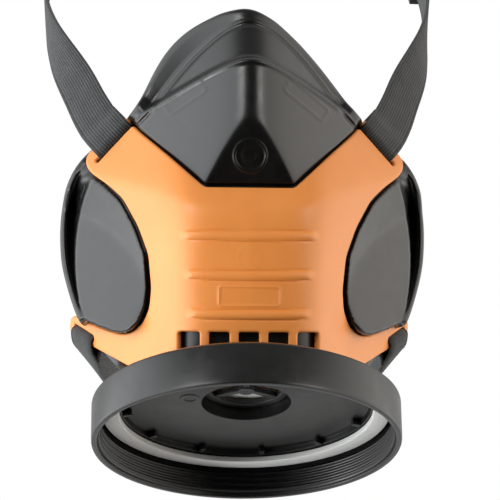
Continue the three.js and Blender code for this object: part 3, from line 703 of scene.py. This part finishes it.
def facepiece():
    """Rings from the middle out to the bead, round the flange and back along the inside."""
    angles, radii = bead_radii()
    turned = (math.pi / 2 - angles + math.pi) % (2 * math.pi) - math.pi
    # The flange stands out further on one side of the nose.
    lip = 5.5 * np.exp(-((turned - 1.95) / 0.3) ** 2)
    rows = []

    def at(r):
        return r * np.sin(angles), CENTRE_Z + r * np.cos(angles)

    def surface(t, drop, detail):
        x, z = at(radii * t)
        height = facepiece_height(x, z, detail)
        if drop:
            height = height - drop * stretch(plain_height, x, z, 2.5)
        else:
            inside = radii * (1 - t)
            height = height - 1.1 * smooth(10, 20, z) * np.exp(-((inside - 1.6) / 0.5) ** 2)
        rows.append(np.stack([x, -height, z], axis=-1))

    x, z = at(radii)
    rim = -plain_height(x, z)
    rim = (np.roll(rim, 1) + rim * 2 + np.roll(rim, -1)) / 4

    for t in np.linspace(0, 1, RINGS + 1)[1:]:
        surface(t, 0, True)
    for grow, back in rounded(FLANGE, 1.1, 3, False):
        x, z = at(radii + grow + lip * min(max(grow / 1.6, 0), 1))
        rows.append(np.stack([x, rim + back, z], axis=-1))
    for t in np.linspace(0, 0.95, 40)[:0:-1]:
        surface(t, RUBBER_WALL, False)
    faces = []
    for j in range(len(rows) - 1):
        for i in range(TURNS):
            k = (i + 1) % TURNS
            faces.append([j * TURNS + k, j * TURNS + i, (j + 1) * TURNS + i, (j + 1) * TURNS + k])
    points = np.concatenate(rows)
    zero = np.zeros(1)
    middle = -facepiece_height(zero, zero + CENTRE_Z, True)[0]
    points = np.concatenate([points, [[0, middle, CENTRE_Z], [0, middle + RUBBER_WALL, CENTRE_Z]]])
    last = (len(rows) - 1) * TURNS
    front, back = len(points) - 2, len(points) - 1
    for i in range(TURNS):
        k = (i + 1) % TURNS
        faces.append([front, i, k])
        faces.append([back, last + k, last + i])
    piece = face_outwards(mesh_object("face_body", points, faces, rubber))
    cut_port(piece, NECK_R + GAP, 26, holder_matrix() @ Matrix.Translation((0, 0, -12)))
    forward = Matrix.Translation((0, -EXHALE_FLOOR, EXHALE_Z)) @ Matrix.Rotation(math.pi / 2, 4, "X")
    cut_port(piece, EXHALE_PORT_R, 20, forward)
    return stands_for(piece, "facepiece", "mask")


def cut_port(piece, radius, depth, matrix):
    """Cuts a round port through the rubber wall."""
    profile = [(0.001, -depth / 2), (radius, -depth / 2), (radius, depth / 2), (0.001, depth / 2)]
    points, faces = turned_mesh(profile, 96, matrix)
    cutter = face_outwards(mesh_object("port_cutter", points, faces, rubber))
    cut = piece.modifiers.new("port", "BOOLEAN")
    cut.operation = "DIFFERENCE"
    cut.object = cutter
    cut.solver = "EXACT"
    bpy.context.view_layer.objects.active = piece
    bpy.ops.object.modifier_apply(modifier=cut.name)
    bpy.data.objects.remove(cutter)


# ---------------------------------------------------------------- filter holder and valves

HOLDER_R = 49.0
HOLDER_INNER_R = 46.0
HOLDER_DEPTH = 14.0
WELL_R = 39.5
WELL_FLOOR = 0.0
LEDGE = 2.0
NECK_TOP = -15.0
COLLAR_BACK = -1.3
SHOULDER = -5.2
THREADS = 4
THREAD_START = 5.2
THREAD_PITCH = 1.9
THREAD_DEPTH = 0.9
GUSSETS = 12
# Places of the small moulding rings on the well's floor.
SPOTS = [(-18, 3.5), (25, 12)]


def filter_holder():
    """The grey ring with its thread ridges, neck, gussets and two moulding rings."""
    root = HOLDER_INNER_R + THREAD_DEPTH
    profile = [
        (NECK_BORE, NECK_TOP), (NECK_BORE, WELL_FLOOR), (WELL_R, WELL_FLOOR), (WELL_R, LEDGE),
        (root, LEDGE),
    ]
    for k in range(THREADS):
        low = THREAD_START + THREAD_PITCH * k
        profile += [(root, low + 0.2), (HOLDER_INNER_R, low + 0.75)]
        profile += [(HOLDER_INNER_R, low + 1.05), (root, low + 1.6)]
    profile += [
        (root, 13.3), (HOLDER_INNER_R + 1.2, HOLDER_DEPTH),
        (HOLDER_R - 0.1, HOLDER_DEPTH), (HOLDER_R, 12.5), (HOLDER_R, 0.9), (HOLDER_R - 4, COLLAR_BACK),
        (21, COLLAR_BACK), (20, SHOULDER), (NECK_R, SHOULDER), (NECK_R, NECK_TOP),
    ]
    parts = Parts().add(turned_mesh(rounded(profile, 0.55, 2), 200, holder_matrix()))
    for k in range(GUSSETS):
        turn = Matrix.Rotation(2 * math.pi * (k + 1 / 3) / GUSSETS, 4, "Z")
        rib = turn @ Matrix.Translation((WELL_R - 1.2, 0, WELL_FLOOR + 0.9))
        parts.add(block_mesh((3.2, 1.8, 2.4), holder_matrix() @ rib, 0.3))
    low, high = WELL_FLOOR - 0.3, WELL_FLOOR + 0.22
    spot = rounded([(1.9, low), (3.2, low), (3.2, high), (1.9, high)], 0.15, 2)
    for x, y in SPOTS:
        parts.add(turned_mesh(spot, 40, holder_matrix() @ Matrix.Translation((x, y, 0))))
    piece = face_outwards(mesh_object("filter_collar", parts.points, parts.faces, grey, 40))
    return stands_for(piece, "filter_holder", "mask")


def ring_piece(name, profile, matrix, material, reach, segments=160):
    """A turned ring with its corners rounded by reach."""
    points, faces = turned_mesh(rounded(profile, reach, 3), segments, matrix)
    return face_outwards(mesh_object(name, points, faces, material, 45))


def valve_seat(name, outer, bore, matrix, collar=None):
    """A ring with three arms to a hub; the hub's headed peg holds the disc. A collar, given by its
    radius, reaches into the port."""
    parts = Parts()
    ring = [(bore, 0), (bore, -2), (outer, -2), (outer, 0)]
    if collar:
        ring = [(bore, 4.6), (bore, -2), (outer, -2), (outer, 0), (collar, 0), (collar, 4.6)]
    parts.add(turned_mesh(rounded(ring, 0.3, 3), 96, matrix))
    peg = [(0.01, -4.9), (1.5, -4.9), (1.5, -4.3), (0.8, -4.3), (0.8, -2), (2.6, -2), (2.6, 0.3),
           (0.01, 0.3)]
    parts.add(turned_mesh(rounded(peg, 0.2, 3), 48, matrix))
    for k in range(3):
        turn = Matrix.Rotation(math.pi / 2 + k * 2 * math.pi / 3, 4, "Z")
        arm = turn @ Matrix.Translation(((bore + 1) / 2 + 0.5, 0, -0.95))
        parts.add(block_mesh((bore - 0.6, 2.3, 1.8), matrix @ arm, 0.35))
    return face_outwards(mesh_object(name, parts.points, parts.faces, black, 45))


def valve_disc(name, radius, matrix):
    """A thin rubber disc, a little thicker at its middle and rim."""
    profile = [(1.15, -2.95), (1.15, -2.25), (3.4, -2.3), (radius - 1.2, -2.42), (radius, -2.3),
               (radius, -2.9), (radius - 1.2, -2.78), (3.4, -2.9)]
    return ring_piece(name, profile, matrix, milky, 0.25, 96)


def holder_pieces():
    m = holder_matrix()
    filter_holder()
    section = [(40.2, LEDGE + 0.3), (40.2, LEDGE + 2.2), (45.6, LEDGE + 2.2), (45.6, LEDGE + 0.3)]
    gasket = ring_piece("gasket_ring", section, m, pale, 0.35)
    stands_for(gasket, "filter_gasket", "mask")
    section = [(NECK_R + GAP, -14.6), (NECK_R + GAP, -12.2), (17.7, -12.2), (17.7, -14.6)]
    clamp = ring_piece("clamp_ring", section, m, black, 0.3)
    stands_for(clamp, "holder_lock_ring", "mask")
    inner = m @ Matrix.Translation((0, 0, INHALE_DEPTH))
    seat = valve_seat("inhalation_spider", NECK_BORE - GAP, 11, inner)
    stands_for(seat, "inhalation_valve_seat", "mask")
    disc = valve_disc("inhalation_disc", 12.6, inner)
    stands_for(disc, "inhalation_valve_disc", "inhalation_flap")
    forward = Matrix.Rotation(-math.pi / 2, 4, "X")
    front = Matrix.Translation((0, -EXHALE_FLOOR - 0.3, EXHALE_Z)) @ forward
    bore = EXHALE_PORT_R - GAP - 1.6
    seat = valve_seat("exhalation_spider", EXHALE_R, bore, front, EXHALE_PORT_R - GAP)
    stands_for(seat, "exhalation_valve_seat", "mask")
    disc = valve_disc("exhalation_disc", EXHALE_R - 2.4, front)
    stands_for(disc, "exhalation_valve_disc", "exhalation_flap")


# ---------------------------------------------------------------- straps

CRADLE_CENTRE = np.array([0, 140, 122.0])
CRADLE_OUT = unit(np.array([0, 0.85, 0.527]))
CRADLE_R = 85.0
CRADLE_SPREAD = 0.44
CRADLE_PLATE = 2.4
CRADLE_BAR = 4.0
CRADLE_REACH = 9.0
# How far each fold round a bar reaches back along its strap.
UPPER_REACH = 11.0
LOWER_REACH = 5.4
# The upper strap sits this far towards the upper end of its slot.
SLOT_SHIFT = 0.8
SLIDER_FROM = np.array([69.3, 80, 81.3])
SLIDER_TO = np.array([67.5, 110, 98.5])
CLIP_CENTRE = np.array([15.5, 114, -54])
CLIP_BAR = 4.0
CLIP_PLATE = 2.4
CLIP_REACH = 8.4
BAR_CLEARANCE = 0.5


def cradle_end():
    """Frame of the cradle's bar on the right: v outwards along the plate, n off its back."""
    r = CRADLE_R - CRADLE_PLATE / 2
    angle = CRADLE_SPREAD - CRADLE_BAR / 2 / r
    side = np.array([1.0, 0, 0])
    bar = CRADLE_CENTRE + CRADLE_OUT * (r * math.cos(angle) - CRADLE_R) + side * r * math.sin(angle)
    v = side * math.cos(angle) - CRADLE_OUT * math.sin(angle)
    n = side * math.sin(angle) + CRADLE_OUT * math.cos(angle)
    return dict(bar=bar, v=v, n=n, u=np.cross(v, n))


def loop_path(end, bar_half, bar_thick, reach):
    """Middle of the ply round a bar, in the plane of v and n, from the back face to the front."""
    side = bar_thick / 2 + BAR_CLEARANCE + STRAP_PLY / 2
    tip = bar_half + BAR_CLEARANCE + STRAP_PLY / 2
    past = bar_half + BAR_CLEARANCE + 1
    near = 0.62
    corners = [(reach + 1.5, -near), (reach, -near), (past, -side), (-tip, -side), (-tip, side),
               (past, side), (reach, near)]
    curve = rounded(corners, [0, 4, 2, 1.9, 1.9, 2, 0], 6, False)
    return [end["bar"] + end["v"] * v + end["n"] * n for v, n in curve]


def bezier(knots, step=1.1):
    """Centres and across directions along knots of (place, direction, across)."""
    centres, acrosses = [], []
    for (p, d, a), (q, e, b) in zip(knots, knots[1:]):
        reach = np.linalg.norm(q - p) / 3
        count = max(3, int(np.linalg.norm(q - p) / step))
        for i in range(count + 1):
            if centres and i == 0:
                continue
            t = i / count
            s = 1 - t
            ends = s ** 3 * p + 3 * s * s * t * (p + d * reach)
            centres.append(ends + 3 * s * t * t * (q - e * reach) + t ** 3 * q)
            w = smooth(0, 1, t)
            acrosses.append(a * (1 - w) + b * w)
    return relaxed(centres), relaxed(acrosses)


def relaxed(values, rounds=90):
    """A run of points with its waves evened out and its ends kept."""
    run = np.array(values)
    for _ in range(rounds):
        run[1:-1] = (run[:-2] + 2 * run[1:-1] + run[2:]) / 4
    return list(run)


def webbing_section():
    """Half-section of the webbing: rounded edges and a groove inside each selvedge."""
    half, t = STRAP_WIDTH / 2 - 0.05, STRAP_PLY / 2
    top = [(-half + 0.35, t - 0.12), (-6.9, t), (-6.5, t), (-6.25, t - 0.16), (-6.0, t), (-3, t),
           (0, t), (3, t), (6.0, t), (6.25, t - 0.16), (6.5, t), (6.9, t), (half - 0.35, t - 0.12)]
    right = [(half, 0)]
    bottom = [(w, -d) for w, d in reversed(top)]
    return top + right + bottom + [(-half, 0)]


def sweep(name, centres, acrosses, flip):
    """A strap of webbing along a path. flip mirrors it to the other side of the mask."""
    centres = np.array(centres)
    tangents = np.gradient(centres, axis=0)
    tangents /= np.linalg.norm(tangents, axis=1)[:, None]
    lengths = np.concatenate([[0], np.cumsum(np.linalg.norm(np.diff(centres, axis=0), axis=1))])
    outline = webbing_section()
    points, along, across, faces = [], [], [], []
    count = len(outline)
    for centre, tangent, a, length in zip(centres, tangents, acrosses, lengths):
        a = unit(a - tangent * np.dot(a, tangent))
        out = np.cross(tangent, a)
        for w, d in outline:
            points.append(centre + a * w + out * d)
            along.append(length)
            across.append(w)
    rings = len(centres)
    for j in range(rings - 1):
        for i in range(count):
            k = (i + 1) % count
            faces.append([j * count + i, j * count + k, (j + 1) * count + k, (j + 1) * count + i])
    faces.append(list(range(count))[::-1])
    faces.append([(rings - 1) * count + i for i in range(count)])
    points = np.array(points)
    if flip:
        points[:, 0] *= -1
    piece = mesh_object(name, points, faces, webbing, 60)
    for key, values in (("along", along), ("across", across)):
        layer = piece.data.attributes.new(key, "FLOAT", "POINT")
        layer.data.foreach_set("value", values)
    return face_outwards(piece)


def whole_strap(first, first_bar, knots, second, second_bar):
    """Path of a strap folded round a bar at each end: back tail, loop, main run, loop, back tail."""
    start = loop_path(first, *first_bar)
    end = loop_path(second, *second_bar)[::-1]
    begin = (start[-1], first["v"], knots[0][2])
    finish = (end[0], -second["v"], knots[-1][2])
    centres, acrosses = bezier([begin] + knots[1:-1] + [finish])
    path = start[:-1] + centres + end[1:]
    across = [knots[0][2]] * (len(start) - 1) + acrosses + [knots[-1][2]] * (len(end) - 1)
    return path, across


def knot(place, direction, across):
    """A place on a strap's run, with its direction and the webbing's direction across."""
    return np.array(place, float), unit(np.array(direction, float)), unit(np.array(across, float))


def bends(piece, node):
    """Bakes the strap's placement into its mesh and hides the CAD node it replaces."""
    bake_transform(piece)
    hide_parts(node)


def upright(v):
    return v if v[2] > 0 else -v


def upper_strap(side, flip):
    lug, end = UPPER_LUG, cradle_end()
    run = unit(SLIDER_TO - SLIDER_FROM)
    level = np.array([0.05, -0.5, 0.87])
    level = unit(level - run * np.dot(level, run))
    last = end["u"] if np.dot(end["u"], level) > 0 else -end["u"]
    first = upright(lug["u"])
    knots = [
        (None, None, first),
        knot((56.1, 8, 42), (0.32, 0.81, 0.49), (-0.62, -0.21, 0.75)),
        knot((60.5, 20, 49.3), (0.27, 0.84, 0.47), (-0.43, -0.33, 0.84)),
        knot((65.2, 39, 58.8), (0.17, 0.88, 0.43), (-0.14, -0.41, 0.9)),
        knot((68.2, 61, 69.6), (0.07, 0.88, 0.47), (0.04, -0.47, 0.88)),
        (SLIDER_FROM, run, level),
        (SLIDER_TO, run, level),
        (None, None, last),
    ]
    bar = (lug["bar_width"] / 2, SHELL_WALL, UPPER_REACH)
    inner = dict(lug, bar=lug["bar"] + first * SLOT_SHIFT)
    path, across = whole_strap(inner, bar, knots, end, (CRADLE_BAR / 2, CRADLE_PLATE, CRADLE_REACH))
    piece = sweep("head_strap_" + side, path, across, flip)
    bends(piece, "upper_strap_" + side)


def lower_strap(side, flip):
    lug = LOWER_LUG
    up = np.array([0, 0, 1.0])
    clip = dict(bar=CLIP_CENTRE, v=np.array([1.0, 0, 0]), n=np.array([0, 1.0, 0]), u=up)
    knots = [
        (None, None, upright(lug["u"])),
        knot((48.5, 24, -54), (-0.22, 0.95, -0.1), (0.45, 0.15, 0.85)),
        knot((44, 56, -54), (-0.16, 1, 0), (0, 0, 1)),
        (None, None, up),
    ]
    bar = (lug["bar_width"] / 2, SHELL_WALL, LOWER_REACH)
    path, across = whole_strap(lug, bar, knots, clip, (CLIP_BAR / 2, CLIP_PLATE, CLIP_REACH))
    piece = sweep("neck_strap_" + side, path, across, flip)
    bends(piece, "lower_strap_" + side)


def finish_cad(node):
    """A CAD node that stays: black plastic and softened edges."""
    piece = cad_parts[node]
    piece.data.materials.clear()
    piece.data.materials.append(black)
    soften = piece.modifiers.new("soften", "BEVEL")
    soften.width = 0.35 * MM
    soften.segments = 2
    soften.limit_method = "ANGLE"
    soften.angle_limit = math.radians(40)


front_shell()
facepiece()
holder_pieces()
for side, flip in (("right", False), ("left", True)):
    upper_strap(side, flip)
    lower_strap(side, flip)
for node in ("head_cradle", "strap_slider_left", "strap_slider_right", "neck_hook", "neck_eye"):
    finish_cad(node)


# ---------------------------------------------------------------- camera, floor and light

def aim(thing, target, roll=0.0):
    """Turns a camera or lamp at thing's place towards target, in metres."""
    way = (Vector(target) - thing.location).to_track_quat("-Z", "Y").to_matrix()
    thing.rotation_euler = (way @ Matrix.Rotation(roll, 3, "Z")).to_euler()


def camera():
    data = bpy.data.cameras.new("camera")
    data.sensor_width = 36
    data.lens = 192.5
    data.clip_end = 20
    view = bpy.data.objects.new("camera", data)
    bpy.context.scene.collection.objects.link(view)
    yaw = math.radians(2.4)
    distance = 0.9
    target = Vector((0.0029, 0, -0.014))
    view.location = target + Vector((-math.sin(yaw), -math.cos(yaw), 0)) * distance
    aim(view, target, math.radians(0.55))
    bpy.context.scene.camera = view


def floor():
    """A round floor well below the mask, which hangs free."""
    mesh = bpy.data.meshes.new("floor")
    reach, level, back, count = 0.3, -0.36, 0.12, 96
    turns = [2 * math.pi * i / count for i in range(count)]
    edge = [(reach * math.cos(a), back + reach * math.sin(a), level) for a in turns]
    mesh.from_pydata(edge, [], [tuple(range(count))])
    plane = bpy.data.objects.new("floor", mesh)
    bpy.context.scene.collection.objects.link(plane)
    material, tree, shader = new_material("floor")
    shader.inputs["Base Color"].default_value = (0.93, 0.93, 0.93, 1)
    shader.inputs["Roughness"].default_value = 0.8
    mesh.materials.append(material)


def area_light(name, place, target, size, power, colour=(1, 1, 1)):
    data = bpy.data.lights.new(name, "AREA")
    data.shape = "RECTANGLE"
    data.size, data.size_y = size
    data.energy = power
    data.color = colour
    lamp = bpy.data.objects.new(name, data)
    bpy.context.scene.collection.objects.link(lamp)
    lamp.location = place
    aim(lamp, target)


def world_light():
    """Soft light from both sides, above and behind, dark in front and below, with a white backdrop."""
    world = bpy.data.worlds.new("studio")
    world.use_nodes = True
    bpy.context.scene.world = world
    tree = world.node_tree
    tree.nodes.clear()
    place = tree.nodes.new("ShaderNodeTexCoord")
    split = tree.nodes.new("ShaderNodeSeparateXYZ")
    link(tree, place.outputs["Generated"], split.inputs[0])

    def lobe(axis, start, full, strength, tint):
        """Light that grows with the direction's part along an axis, from start to full."""
        reach = tree.nodes.new("ShaderNodeMapRange")
        reach.interpolation_type = "SMOOTHSTEP"
        limits = {"From Min": start, "From Max": full, "To Min": 0.0, "To Max": strength}
        for name, value in limits.items():
            reach.inputs[name].default_value = value
        link(tree, split.outputs[axis], reach.inputs["Value"])
        colour = tree.nodes.new("ShaderNodeVectorMath")
        colour.operation = "SCALE"
        colour.inputs[0].default_value = tint
        link(tree, reach.outputs["Result"], colour.inputs["Scale"])
        return colour.outputs[0]

    def join(a, b):
        added = tree.nodes.new("ShaderNodeVectorMath")
        link(tree, a, added.inputs[0])
        link(tree, b, added.inputs[1])
        return added.outputs[0]

    left = lobe("X", -0.58, -0.95, 3.2, (0.96, 0.98, 1.0))
    right = lobe("X", 0.58, 0.95, 2.0, (1.0, 0.95, 0.88))
    above = lobe("Z", 0.3, 0.95, 0.3, (1.0, 1.0, 1.0))
    behind = lobe("Y", -0.2, 0.9, 0.7, (1.0, 1.0, 1.0))
    total = join(join(left, right), join(above, behind))
    sky = tree.nodes.new("ShaderNodeBackground")
    link(tree, total, sky.inputs["Color"])
    backdrop = tree.nodes.new("ShaderNodeBackground")
    ray = tree.nodes.new("ShaderNodeLightPath")
    mix = tree.nodes.new("ShaderNodeMixShader")
    link(tree, ray.outputs["Is Camera Ray"], mix.inputs[0])
    link(tree, sky.outputs[0], mix.inputs[1])
    link(tree, backdrop.outputs[0], mix.inputs[2])
    backdrop.inputs["Color"].default_value = (1, 1, 1, 1)
    link(tree, mix.outputs[0], tree.nodes.new("ShaderNodeOutputWorld").inputs["Surface"])


def lights():
    world_light()
    area_light("key", (-0.85, -0.95, 0.55), (0, -0.03, 0), (0.45, 0.45), 6.8)
    area_light("fill", (0.95, -0.95, 0.45), (0, -0.03, 0), (0.45, 0.45), 4.5, (1.0, 0.96, 0.9))
    area_light("low", (-0.95, -0.3, -0.5), (0, -0.06, -0.08), (0.3, 0.3), 4.2)


camera()
floor()
lights()
bpy.context.scene.view_settings.view_transform = "Standard"
